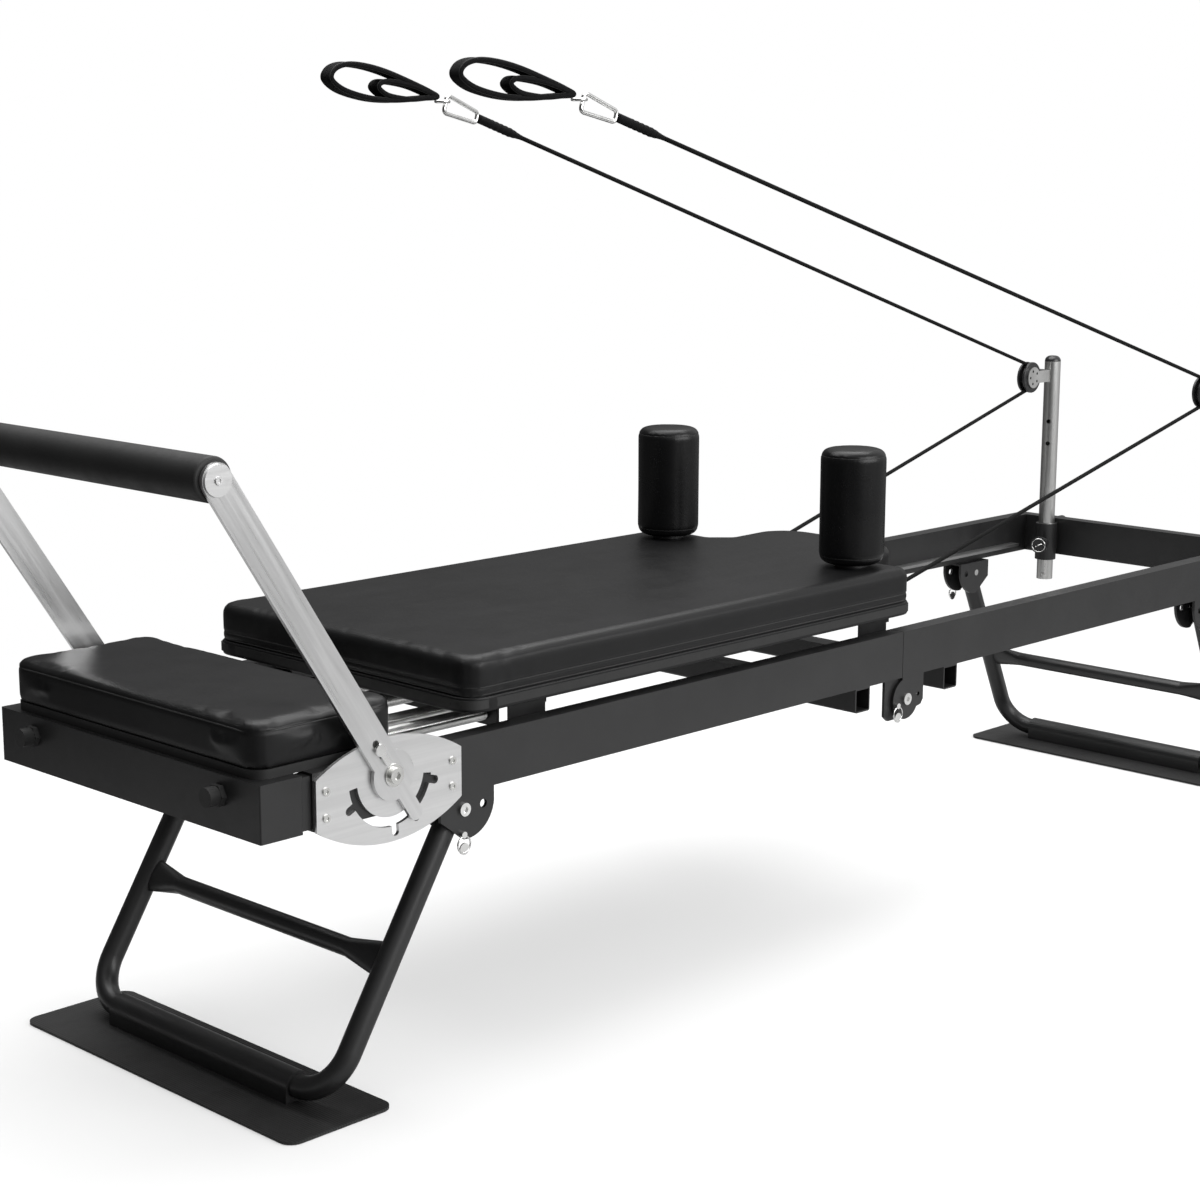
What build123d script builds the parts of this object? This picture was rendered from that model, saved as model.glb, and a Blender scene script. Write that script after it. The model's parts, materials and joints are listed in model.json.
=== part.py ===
"""Folding pilates reformer: every sub-part is its own solid, written to parts/ as one STEP file each.

+X runs from the footbar end to the pulley end, +Z is up, and the XZ plane is the plane of symmetry.
"""

import os
from math import asin, atan2, cos, degrees, hypot, radians, sin

from build123d import *

SIDES = (1, -1)
RUN_GAP = 0.3

# frame rails
HALF_W = 285.0
RAIL_W, RAIL_TOP, RAIL_BOT, RAIL_WALL = 28.0, 463.0, 389.0, 2.5
RAIL_H = RAIL_TOP - RAIL_BOT
RAIL_IN = HALF_W - RAIL_W
RAIL_MID_Y, RAIL_MID_Z = HALF_W - RAIL_W / 2, (RAIL_TOP + RAIL_BOT) / 2
SEAM_X, SEAM_GAP = 75.0, 0.5
BOX_X0, BOX_X1, COLLAR_X1 = -1191.0, -1126.0, -1111.0
COLLAR_INSET = 3.0
END_X0, END_X1 = 1212.0, 1240.0
TRACK_W, TRACK_T, TRACK_Z = 20.0, 5.0, 405.0
TRACK_X0, TRACK_X1 = -1000.0, 1160.0
BEAM_W, BEAM_H = 36.0, 38.0
FRONT_BEAM_X, REAR_BEAM_X = -26.0, 203.0
BUMPER_Y, BUMPER_R, NUT_L = 205.0, 12.5, 7.0
FRONT_BUMPER_L, REAR_BUMPER_L = 22.0, 28.0
FRONT_BUMPER_Z, REAR_BUMPER_Z = 437.0, 448.0

# frame fold hinge
FOLD_X, FOLD_Z = 87.0, 353.0
LOBE_R, HINGE_T = 33.0, 4.7
HINGE_FRONT_Y, HINGE_REAR_Y = 274.0, 279.3
HINGE_BOLT_R, HINGE_HEAD_R, HINGE_HEAD_T = 6.0, 9.5, 4.0
LOCK_X, LOCK_Z, LOCK_R = 61.0, 346.0, 3.5

# selector plates and footbar
PLATE_X, PLATE_Z, PLATE_HALF, PLATE_T = -990.0, 421.0, 119.5, 5.0
PLATE_EDGE, PLATE_UP, PLATE_DOWN = 33.0, 68.0, 69.0
PIVOT_X, PIVOT_Z = -990.0, 440.0
SLOT_R0, SLOT_R1, SLOT_FROM, SLOT_SWEEP = 55.0, 68.0, 187.0, 164.0
NOTCH_TIP, NOTCH_W = 82.0, 11.0
NOTCH_ANGLES = (207.0, 275.0, 303.0, 344.0)
SCREW_DX, SCREW_Z, SCREW_R, SCREW_T = 104.0, (404.0, 438.0), 5.5, 2.0
SOCKET_DEPTH, SOCKET_WIDTH = 0.6, 0.52
BAR_X, BAR_Z = -1248.0, 838.0
ARM_W, ARM_T, ARM_DISC_R = 42.0, 6.0, 33.0
ARM_Y = HALF_W + PLATE_T + 0.5
FINGER_W, FINGER_R = 21.0, 66.0
ARM_SLOT_R, ARM_SLOT_L, ARM_SLOT_W = 44.0, 30.0, 10.0
STUD_R, WASHER_R, WASHER_T, STUD_HEAD_R, STUD_HEAD_T = 8.0, 15.0, 1.5, 10.5, 5.0
STUD_FIT = 0.06
GRIP_R, GRIP_CORE_R = 27.5, 16.0
CAP_R, CAP_T, CAP_SCREW_R = 19.0, 2.5, 5.0
LATCH_W, LATCH_T, LATCH_HEAD_R = 8.0, 4.0, 8.0
LATCH_R0, LATCH_R1 = 18.0, 52.0

# padded stand at the foot end
STAND_X0, STAND_X1, STAND_HALF = -1187.0, -956.0, 272.0
STAND_BOARD_T, STAND_TOP = 12.0, 531.0
STAND_CORNER, STAND_EDGE, BOARD_INSET = 28.0, 11.0, 5.0

# springs
SPRING_BAR_X, SPRING_Z, SPRING_BAR_R = -1022.0, 445.0, 11.0
SPRING_R, SPRING_CORE_R = 11.0, 7.0
SPRING_Y = (-150.0, -98.0, 0.0, 98.0, 150.0)
SPRING_X0, SPRING_X1 = SPRING_BAR_X + SPRING_BAR_R, -700.0

# legs
LEG_R, LEG_WALL, LEG_BEND, LEG_Y = 16.0, 2.0, 62.0, 263.0
LEG_Z, BAR_AXIS_Z, LEG_TOP = 367.0, 24.0, 10.0
FRONT_LEG = (-862.0, -1076.0)
REAR_LEG = (1020.0, 1182.0)
LEG_BOLT_R, LEG_FIT = 6.0, 0.06
BRACE_Z, BRACE_R, BRACE_FLARE = 183.0, 13.0, 24.0
BRACE_THIN, BRACE_FLAT_L = 7.0, 62.0
FOOT_T, FOOT_HALF, FOOT_CORNER = 4.0, 299.0, 20.0
FRONT_FOOT, REAR_FOOT = (-1170.0, -998.0), (1096.0, 1268.0)
SLEEVE_R, SLEEVE_HALF = 20.0, 198.0
EAR_T, EAR_OUT, EAR_IN, EAR_WEB = 5.0, 279.5, 241.5, 2.7
EAR_LOW = 326.0
FRONT_PIN_DX, REAR_PIN_DX, PIN_DROP = -4.0, -14.0, 33.0

# carriage
MAT_X0, MAT_X1, MAT_HALF = -844.0, 118.0, 278.0
HEAD_X1, HEAD_HALF, HEAD_R, NECK_R = 275.0, 138.0, 60.0, 22.0
BOARD_Z, PAD_Z, PAD_TOP = 491.0, 503.0, 559.0
MAT_CORNER, MAT_EDGE = 30.0, 13.0
CROSS_X = ((-700.0, -660.0), (78.0, 106.0))
CROSS_Z, CROSS_HALF = 467.0, 232.0
STRINGER_Y, STRINGER_W = 196.0, 24.0
DROP_T, DROP_HALF, DROP_Z = 5.0, 175.0, 428.0
WHEEL_X, WHEEL_R, WHEEL_W, WHEEL_Y = (-700.0, 60.0), 18.0, 11.0, 247.0
WHEEL_Z = TRACK_Z + TRACK_T + RUN_GAP + WHEEL_R
CHEEK_Y, CHEEK_T, CHEEK_HALF = 232.0, 4.0, 34.0
AXLE_R, AXLE_FIT = 5.0, 0.06
REST_X, REST_Y, REST_R = 50.0, 197.0, 52.0
REST_Z0, REST_Z1, REST_EDGE, REST_COLLAR_R = 566.0, 749.0, 16.0, 26.0

# pulley posts
POST_X, POST_Y, POST_R, POST_WALL = 1190.0, 192.0, 16.0, 3.0
POST_Z0, POST_Z1, POST_CAP = 340.0, 797.0, 11.0
POST_HOLE_R, POST_HOLES = 4.5, (350.0, 620.0, 665.0)
SLEEVE_FIT, POST_SLEEVE_R = 0.08, 21.0
POST_SLEEVE_Z = (381.0, 455.0)
KNOB_Z, KNOB_R, KNOB_RIM_R, KNOB_BOSS_R = 417.0, 15.0, 17.0, 10.0
KNOB_FROM, KNOB_TO, BOSS_TO, KNOB_SHAFT_R = 41.0, 58.0, 38.0, 4.0
KNOB_AIM = 0.35
PULLEY_X, PULLEY_Y, PULLEY_Z = 1114.0, 197.0, 758.0
PULLEY_R, PULLEY_T, GROOVE_R = 30.5, 18.0, 19.0
CHEEK_GAP, YOKE_T, YOKE_R, YOKE_H = 0.5, 3.0, 21.0, 24.0
PULLEY_AXLE_R, PULLEY_FIT = 5.0, 0.06

# ropes and straps
ROPE_R, ROPE_TURN = 3.5, 2.0
ROPE_LINE_R = GROOVE_R + ROPE_R + RUN_GAP
ANCHOR_S, ANCHOR_Z, ANCHOR_GAP = 992.0, 480.0, 1.5
STRAP_S, STRAP_Z = 1455.0, 1224.0
TAIL_L, TAIL_R = 96.0, 7.0
CLIP_L, CLIP_W, CLIP_WIRE, RING_R, RING_WIRE = 70.0, 27.0, 3.0, 9.5, 2.4
LOOP_W, LOOP_TILT, TIP_R = 24.0, 6.0, 7.5
FOOT_LOOP = ((8, 4), (40, -4), (95, -13), (140, -15.5), (185, -11.5), (211, -2), (218, 9), (208, 23),
             (185, 31), (150, 32.5), (110, 29), (60, 20), (20, 12))
FOOT_HOLE = ((28, 5.5), (45, 0.5), (95, -8), (140, -10.5), (183, -6.5), (206, 1), (212.5, 9), (204, 19),
             (183, 26), (150, 27.5), (112, 24), (65, 15))
HAND_LOOP = ((12, 5), (38, -4), (70, -8.5), (105, -8), (124, -1.5), (129, 6), (119, 14.5), (95, 17.5),
             (60, 16.5), (28, 11.5))
HAND_HOLE = ((34, 4.5), (48, 0), (70, -3.5), (104, -3), (119, 1.5), (123.5, 6), (116, 10.5), (95, 12.5),
             (62, 11.5))


def add_box(x, y, z, mode=Mode.ADD):
    """Axis-aligned box from (low, high) pairs, added to the open part."""
    with Locations(((x[0] + x[1]) / 2, (y[0] + y[1]) / 2, (z[0] + z[1]) / 2)):
        Box(x[1] - x[0], y[1] - y[0], z[1] - z[0], mode=mode)


def band(side, near, far):
    """Y interval from near to far on one side of the middle plane."""
    return tuple(sorted((side * near, side * far)))


def side_plane(side, near, thick):
    """XZ sketch plane whose extrusion by thick fills near..near+thick on one side."""
    return Plane.XZ.offset(near if side < 0 else -(near + thick))


def add_rod(x, z, y, radius, mode=Mode.ADD):
    """Cylinder along Y over the interval y, added to the open part."""
    with Locations(Plane((x, (y[0] + y[1]) / 2, z), z_dir=(0, 1, 0))):
        Cylinder(radius, y[1] - y[0], mode=mode)


def add_screw(x, z, side, face, radius, height):
    """Round head with a hexagon socket, added to the open part."""
    depth = SOCKET_DEPTH * height
    add_rod(x, z, band(side, face, face + height), radius)
    with BuildSketch(side_plane(side, face + height - depth, depth)) as socket:
        with Locations((x, z)):
            RegularPolygon(SOCKET_WIDTH * radius, 6)
    extrude(socket.sketch, amount=depth, mode=Mode.SUBTRACT)


def rail_pair(x0, x1):
    """Two rectangular tubes."""
    with BuildPart() as rails:
        with BuildSketch(Plane.YZ.offset(x0)):
            with Locations(*[(side * RAIL_MID_Y, RAIL_MID_Z) for side in SIDES]):
                Rectangle(RAIL_W, RAIL_H)
                Rectangle(RAIL_W - 2 * RAIL_WALL, RAIL_H - 2 * RAIL_WALL, mode=Mode.SUBTRACT)
        extrude(amount=x1 - x0)
    return rails


def track_pair(x0, x1):
    """Ledges inside the rails that carry the carriage wheels."""
    with BuildPart() as tracks:
        for side in SIDES:
            add_box((x0, x1), band(side, RAIL_IN - TRACK_W, RAIL_IN), (TRACK_Z, TRACK_Z + TRACK_T))
    return tracks


def cross_beam(x):
    """Square tube under the rails."""
    y, z = (-HALF_W, HALF_W), (RAIL_BOT - BEAM_H, RAIL_BOT)
    with BuildPart() as beam:
        add_box((x - BEAM_W / 2, x + BEAM_W / 2), y, z)
        fillet(beam.edges().filter_by(Axis.Y).group_by(Axis.Z)[0], 4)
        inner = (x - BEAM_W / 2 + RAIL_WALL, x + BEAM_W / 2 - RAIL_WALL)
        add_box(inner, y, (z[0] + RAIL_WALL, z[1] - RAIL_WALL), Mode.SUBTRACT)
    return beam


def foot_box():
    """Deep cross box at the foot end, open underneath, with inset collars that meet the rails."""
    wall = RAIL_WALL
    with BuildPart() as box:
        add_box((BOX_X0, BOX_X1), (-HALF_W, HALF_W), (RAIL_BOT, RAIL_TOP))
        fillet(box.edges().filter_by(Axis.Z), 2)
        add_box((BOX_X0 + wall, BOX_X1 - wall), (wall - HALF_W, HALF_W - wall),
                (RAIL_BOT, RAIL_TOP - wall), Mode.SUBTRACT)
        for side in SIDES:
            add_box((BOX_X1, COLLAR_X1), band(side, RAIL_IN + COLLAR_INSET, HALF_W - COLLAR_INSET),
                    (RAIL_BOT + COLLAR_INSET, RAIL_TOP - COLLAR_INSET))
    return box


def end_crossbar():
    """Rectangular tube that closes the pulley end, with mitred-looking rounded outer corners."""
    wall = RAIL_WALL
    with BuildPart() as bar:
        add_box((END_X0, END_X1), (-HALF_W, HALF_W), (RAIL_BOT, RAIL_TOP))
        fillet(bar.edges().filter_by(Axis.Z).group_by(Axis.X)[-1], 12)
        add_box((END_X0 + wall, END_X1 - wall), (wall + 12 - HALF_W, HALF_W - wall - 12),
                (RAIL_BOT, RAIL_TOP - wall), Mode.SUBTRACT)
    return bar


def bumper_pair(x, z, reach):
    """Round rubber stops on hexagonal nuts, standing out of an end face."""
    nut = NUT_L if reach > 0 else -NUT_L
    with BuildPart() as bumpers:
        for side in SIDES:
            with BuildSketch(Plane.YZ.offset(x)):
                with Locations((side * BUMPER_Y, z)):
                    RegularPolygon(BUMPER_R + 2.5, 6)
            extrude(amount=nut)
            with BuildSketch(Plane.YZ.offset(x + nut)):
                with Locations((side * BUMPER_Y, z)):
                    Circle(BUMPER_R)
            extrude(amount=reach - nut)
    return bumpers


def pad_outline(x0, x1, half, corner):
    """Rounded rectangle sketch for the stand."""
    with Locations(((x0 + x1) / 2, 0)):
        RectangleRounded(x1 - x0, 2 * half, corner)


def stand_board():
    with BuildPart() as board:
        with BuildSketch(Plane.XY.offset(RAIL_TOP)):
            pad_outline(STAND_X0 + BOARD_INSET, STAND_X1 - BOARD_INSET, STAND_HALF - BOARD_INSET,
                        STAND_CORNER - BOARD_INSET)
        extrude(amount=STAND_BOARD_T)
    return board


def stand_pad():
    base = RAIL_TOP + STAND_BOARD_T
    with BuildPart() as pad:
        with BuildSketch(Plane.XY.offset(base)):
            pad_outline(STAND_X0, STAND_X1, STAND_HALF, STAND_CORNER)
        extrude(amount=STAND_TOP - base)
        fillet(pad.faces().sort_by(Axis.Z)[-1].edges(), STAND_EDGE)
    return pad


def selector_plates():
    """Lens-shaped plates with an arc slot and notches round the footbar pivot."""
    ends = [(PLATE_X + s * PLATE_HALF, PLATE_Z + t * PLATE_EDGE) for s in (-1, 1) for t in (-1, 1)]
    low_left, high_left, low_right, high_right = ends
    with BuildPart() as plates:
        for side in SIDES:
            with BuildSketch(side_plane(side, HALF_W, PLATE_T)):
                with BuildLine():
                    Line(low_left, high_left)
                    ThreePointArc(high_left, (PLATE_X, PLATE_Z + PLATE_UP), high_right)
                    Line(high_right, low_right)
                    ThreePointArc(low_right, (PLATE_X, PLATE_Z - PLATE_DOWN), low_left)
                make_face()
                cut_selector_slot()
            extrude(amount=PLATE_T)
    return plates


def cut_selector_slot():
    """Arc slot and radial notches, cut from the open sketch."""
    with BuildLine() as slot:
        inner = CenterArc((PIVOT_X, PIVOT_Z), SLOT_R0, SLOT_FROM, SLOT_SWEEP)
        outer = CenterArc((PIVOT_X, PIVOT_Z), SLOT_R1, SLOT_FROM, SLOT_SWEEP)
        Line(inner @ 0, outer @ 0)
        Line(inner @ 1, outer @ 1)
    make_face(slot.edges(), mode=Mode.SUBTRACT)
    reach = NOTCH_TIP - SLOT_R0 - NOTCH_W
    middle = NOTCH_TIP - NOTCH_W / 2 - reach / 2
    for angle in NOTCH_ANGLES:
        at = radians(angle)
        with Locations((PIVOT_X + middle * cos(at), PIVOT_Z + middle * sin(at))):
            SlotCenterToCenter(reach, NOTCH_W, rotation=angle, mode=Mode.SUBTRACT)


def selector_hardware():
    """Plate screws, and the studs with washers and heads that the footbar turns on."""
    face, washer = HALF_W + PLATE_T, ARM_Y + ARM_T + RUN_GAP
    with BuildPart() as hardware:
        for side in SIDES:
            for dx in (-SCREW_DX, SCREW_DX):
                for z in SCREW_Z:
                    add_screw(PLATE_X + dx, z, side, face, SCREW_R, SCREW_T)
            add_rod(PIVOT_X, PIVOT_Z, band(side, face, washer), STUD_R)
            add_rod(PIVOT_X, PIVOT_Z, band(side, washer, washer + WASHER_T), WASHER_R)
            add_screw(PIVOT_X, PIVOT_Z, side, washer + WASHER_T, STUD_HEAD_R, STUD_HEAD_T)
    return hardware


def arm_point(distance, across=0.0):
    """Point in the XZ plane at a distance from the pivot towards the bar."""
    length = hypot(BAR_X - PIVOT_X, BAR_Z - PIVOT_Z)
    ux, uz = (BAR_X - PIVOT_X) / length, (BAR_Z - PIVOT_Z) / length
    return (PIVOT_X + distance * ux - across * uz, PIVOT_Z + distance * uz + across * ux)


def footbar_frame():
    """Two flat arms, each with a selector finger below its pivot, joined by the core tube."""
    length = hypot(BAR_X - PIVOT_X, BAR_Z - PIVOT_Z)
    lean = degrees(atan2(BAR_Z - PIVOT_Z, BAR_X - PIVOT_X))
    with BuildPart() as arms:
        for side in SIDES:
            with BuildSketch(side_plane(side, ARM_Y, ARM_T)):
                with Locations(arm_point(length / 2)):
                    SlotCenterToCenter(length, ARM_W, rotation=lean)
                with Locations((PIVOT_X, PIVOT_Z)):
                    Circle(ARM_DISC_R)
                with Locations(arm_point(-FINGER_R / 2)):
                    SlotCenterToCenter(FINGER_R, FINGER_W, rotation=lean)
                with Locations((PIVOT_X, PIVOT_Z)):
                    Circle(STUD_R + STUD_FIT, mode=Mode.SUBTRACT)
                with Locations(arm_point(ARM_SLOT_R)):
                    SlotOverall(ARM_SLOT_L, ARM_SLOT_W, rotation=lean, mode=Mode.SUBTRACT)
            extrude(amount=ARM_T)
        add_rod(BAR_X, BAR_Z, (-ARM_Y, ARM_Y), GRIP_CORE_R)
        add_rod(BAR_X, BAR_Z, (-ARM_Y - ARM_T, ARM_Y + ARM_T), GRIP_CORE_R - 3, Mode.SUBTRACT)
    return arms


def footbar_grip():
    with BuildPart() as grip:
        add_rod(BAR_X, BAR_Z, (1 - ARM_Y, ARM_Y - 1), GRIP_R)
        fillet(grip.edges(), 4)
        add_rod(BAR_X, BAR_Z, (-ARM_Y, ARM_Y), GRIP_CORE_R, Mode.SUBTRACT)
    return grip


def footbar_caps():
    face = ARM_Y + ARM_T
    with BuildPart() as caps:
        for side in SIDES:
            add_rod(BAR_X, BAR_Z, band(side, face, face + CAP_T), CAP_R)
            add_screw(BAR_X, BAR_Z, side, face + CAP_T, CAP_SCREW_R, SCREW_T)
    return caps


def footbar_latches():
    """Spring fingers that slide along the arms, guided in the arm slots."""
    lean = degrees(atan2(BAR_Z - PIVOT_Z, BAR_X - PIVOT_X))
    base, middle = ARM_Y + ARM_T + RUN_GAP, (LATCH_R0 + LATCH_R1) / 2
    with BuildPart() as latches:
        for side in SIDES:
            with BuildSketch(side_plane(side, base, LATCH_T)):
                with Locations(arm_point(middle)):
                    SlotOverall(LATCH_R1 - LATCH_R0, LATCH_W, rotation=lean)
                with Locations(arm_point(LATCH_R1 - LATCH_HEAD_R)):
                    Circle(LATCH_HEAD_R)
            extrude(amount=LATCH_T)
            x, z = arm_point(LATCH_R1 - LATCH_HEAD_R)
            add_rod(x, z, band(side, ARM_Y + RUN_GAP, base), LATCH_W / 2 - 1)
    return latches


def spring_bar():
    """Cross tube with a hook plate for each spring."""
    with BuildPart() as bar:
        add_rod(SPRING_BAR_X, SPRING_Z, (-RAIL_IN, RAIL_IN), SPRING_BAR_R)
        add_rod(SPRING_BAR_X, SPRING_Z, (-RAIL_IN, RAIL_IN), SPRING_BAR_R - RAIL_WALL, Mode.SUBTRACT)
    return bar


def springs():
    """Stand-in tubes the size of the coil springs."""
    with BuildPart() as coils:
        with BuildSketch(Plane.YZ.offset(SPRING_X0)):
            with Locations(*[(y, SPRING_Z) for y in SPRING_Y]):
                Circle(SPRING_R)
                Circle(SPRING_CORE_R, mode=Mode.SUBTRACT)
        extrude(amount=SPRING_X1 - SPRING_X0)
    return coils


def leg_axis(leg):
    """Unit vector down one leg, as (x, z)."""
    length = hypot(leg[1] - leg[0], BAR_AXIS_Z - LEG_Z)
    return (leg[1] - leg[0]) / length, (BAR_AXIS_Z - LEG_Z) / length


def leg_frame(leg):
    """U-shaped tube with a bolt hole through the top of each side."""
    ux, uz = leg_axis(leg)
    top = (leg[0] - LEG_TOP * ux, LEG_Z - LEG_TOP * uz)
    with BuildPart() as frame:
        with BuildLine() as path:
            FilletPolyline((top[0], LEG_Y, top[1]), (leg[1], LEG_Y, BAR_AXIS_Z),
                           (leg[1], -LEG_Y, BAR_AXIS_Z), (top[0], -LEG_Y, top[1]), radius=LEG_BEND)
        with BuildSketch(Plane(path.wire() @ 0, z_dir=path.wire() % 0)):
            Circle(LEG_R)
            Circle(LEG_R - LEG_WALL, mode=Mode.SUBTRACT)
        sweep()
        add_rod(leg[0], LEG_Z, (-HALF_W, HALF_W), LEG_BOLT_R + LEG_FIT, Mode.SUBTRACT)
    return frame


def leg_brace(leg):
    """Cross tube whose ends flare into flats that meet the leg tubes."""
    ux, uz = leg_axis(leg)
    x = leg[0] + (BRACE_Z - LEG_Z) * ux / uz
    lean = degrees(atan2(uz, ux))
    start, end = LEG_Y - LEG_R - BRACE_FLAT_L, LEG_Y - LEG_R + 2
    with BuildPart() as brace:
        add_rod(x, BRACE_Z, (-start, start), BRACE_R)
        for side in SIDES:
            for y, along, across in ((start, BRACE_R, BRACE_R), (end, BRACE_FLARE, BRACE_THIN)):
                with BuildSketch(Plane.XZ.offset(-side * y)):
                    with Locations((x, BRACE_Z)):
                        Ellipse(along, across, rotation=lean)
            loft()
        for side in SIDES:
            with Locations(Plane((leg[0], side * LEG_Y, LEG_Z), x_dir=(0, 1, 0), z_dir=(ux, 0, uz))):
                Cylinder(LEG_R, 2 * LEG_Z, mode=Mode.SUBTRACT)
    return brace


def foot_sleeve(leg):
    """Saddle round the bottom bar of a leg."""
    span = (-SLEEVE_HALF, SLEEVE_HALF)
    with BuildPart() as sleeve:
        add_rod(leg[1], BAR_AXIS_Z, span, SLEEVE_R)
        add_box((leg[1] - SLEEVE_R, leg[1] + SLEEVE_R), span, (FOOT_T, BAR_AXIS_Z))
        add_rod(leg[1], BAR_AXIS_Z, span, LEG_R + LEG_FIT, Mode.SUBTRACT)
    return sleeve


def foot_plate(foot):
    with BuildPart() as plate:
        with BuildSketch(Plane.XY):
            pad_outline(foot[0], foot[1], FOOT_HALF, FOOT_CORNER)
        extrude(amount=FOOT_T)
    return plate


def leg_ears(leg, outward):
    """U brackets under the rails; outward is -1 at the foot end and 1 at the pulley end."""
    def at(dx, z):
        return (leg[0] - outward * dx, z)
    with BuildPart() as ears:
        for side in SIDES:
            for near in (EAR_IN, EAR_OUT):
                with BuildSketch(side_plane(side, near, EAR_T)):
                    with BuildLine():
                        Polyline(at(0, EAR_LOW), at(-40, 356), at(-40, RAIL_BOT), at(54, RAIL_BOT),
                                 at(54, 369))
                        ThreePointArc(at(54, 369), at(38, 338), at(0, EAR_LOW))
                    make_face()
                    with Locations((leg[0], LEG_Z), at(35, LEG_Z + 1)):
                        Circle(LEG_BOLT_R, mode=Mode.SUBTRACT)
                extrude(amount=EAR_T)
            add_box(tuple(sorted((at(-40, 0)[0], at(54, 0)[0]))), band(side, EAR_IN, EAR_OUT + EAR_T),
                    (RAIL_BOT - EAR_WEB, RAIL_BOT))
    return ears


def add_ring_pin(x, z, side, face):
    """Quick-release pin seen from outside: head, hanging ring and tag disc, added to the open part."""
    add_rod(x, z, band(side, face, face + 6), LOCK_R + 1)
    with Locations(Plane((x, side * (face + 4.5), z - 13), z_dir=(0, 1, 0))):
        Torus(11, 1.2)
    add_rod(x, z - 19, band(side, face + 3.5, face + 5.5), 8)


def leg_hardware(leg, pin_dx):
    """Leg bolts and lock pins, the pins at pin_dx from the bolts."""
    outer = EAR_OUT + EAR_T
    with BuildPart() as hardware:
        for side in SIDES:
            add_rod(leg[0], LEG_Z, band(side, EAR_IN, outer), LEG_BOLT_R)
            add_screw(leg[0], LEG_Z, side, outer, LEG_BOLT_R + 3, HINGE_HEAD_T)
            add_ring_pin(leg[0] + pin_dx, LEG_Z - PIN_DROP, side, outer)
    return hardware


def front_hinge_plates():
    """Plates under the foot half of the frame, round below the seam."""
    top = RAIL_BOT
    with BuildPart() as plates:
        for side in SIDES:
            with BuildSketch(side_plane(side, HINGE_FRONT_Y, HINGE_T)):
                with Locations((FOLD_X, FOLD_Z)):
                    Circle(LOBE_R)
                with BuildLine():
                    Polyline((38, top), (38, 330), (48, 322), (66, 322), (SEAM_X - 2, 340),
                             (SEAM_X - 2, top), close=True)
                make_face()
                with Locations((FOLD_X, FOLD_Z)):
                    Circle(HINGE_BOLT_R, mode=Mode.SUBTRACT)
            extrude(amount=HINGE_T)
    return plates


def rear_hinge_plates():
    """Plates under the pulley half of the frame that turn on the hinge bolts."""
    top, left = RAIL_BOT, SEAM_X + 2
    with BuildPart() as plates:
        for side in SIDES:
            with BuildSketch(side_plane(side, HINGE_REAR_Y, HINGE_T)):
                with Locations((FOLD_X, FOLD_Z)):
                    Circle(LOBE_R)
                with BuildLine():
                    Polyline((left, top), (left, FOLD_Z), (104, 334), (126, 338), (132, 346),
                             (132, top), close=True)
                make_face()
                with Locations((FOLD_X, FOLD_Z)):
                    Circle(HINGE_BOLT_R + STUD_FIT, mode=Mode.SUBTRACT)
                with Locations((119, 356)):
                    Circle(3.5, mode=Mode.SUBTRACT)
            extrude(amount=HINGE_T)
    return plates


def hinge_bolts():
    """Bolts fixed in the front hinge plates."""
    outer = HINGE_REAR_Y + HINGE_T + RUN_GAP
    with BuildPart() as bolts:
        for side in SIDES:
            add_rod(FOLD_X, FOLD_Z, band(side, HINGE_FRONT_Y, outer), HINGE_BOLT_R)
            add_screw(FOLD_X, FOLD_Z, side, outer, HINGE_HEAD_R, HINGE_HEAD_T)
    return bolts


def hinge_pins():
    """Ring pins on the rear hinge plates."""
    with BuildPart() as pins:
        for side in SIDES:
            add_ring_pin(LOCK_X, LOCK_Z, side, HINGE_REAR_Y + HINGE_T)
    return pins


def mat_sketch(inset):
    """Mat outline with a narrower head part between the shoulder rests."""
    x1 = MAT_X1 - inset
    with Locations(((MAT_X0 + inset + x1) / 2, 0)):
        RectangleRounded(x1 - MAT_X0 - inset, 2 * (MAT_HALF - inset), MAT_CORNER - inset)
    with Locations((MAT_X1, 0)):
        RectangleRounded(2 * (HEAD_X1 - inset - MAT_X1), 2 * (HEAD_HALF - inset), HEAD_R - inset)


def carriage_board():
    with BuildPart() as board:
        with BuildSketch(Plane.XY.offset(BOARD_Z)):
            mat_sketch(2)
        extrude(amount=PAD_Z - BOARD_Z)
    return board


def carriage_pad():
    with BuildPart() as pad:
        with BuildSketch(Plane.XY.offset(PAD_Z)) as outline:
            mat_sketch(0)
            inner = outline.vertices().filter_by(
                lambda v: abs(v.X - MAT_X1) < 1 and abs(abs(v.Y) - HEAD_HALF) < 1)
            fillet(inner, NECK_R)
        extrude(amount=PAD_TOP - PAD_Z)
        fillet(pad.faces().sort_by(Axis.Z)[-1].edges(), MAT_EDGE)
    return pad


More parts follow.
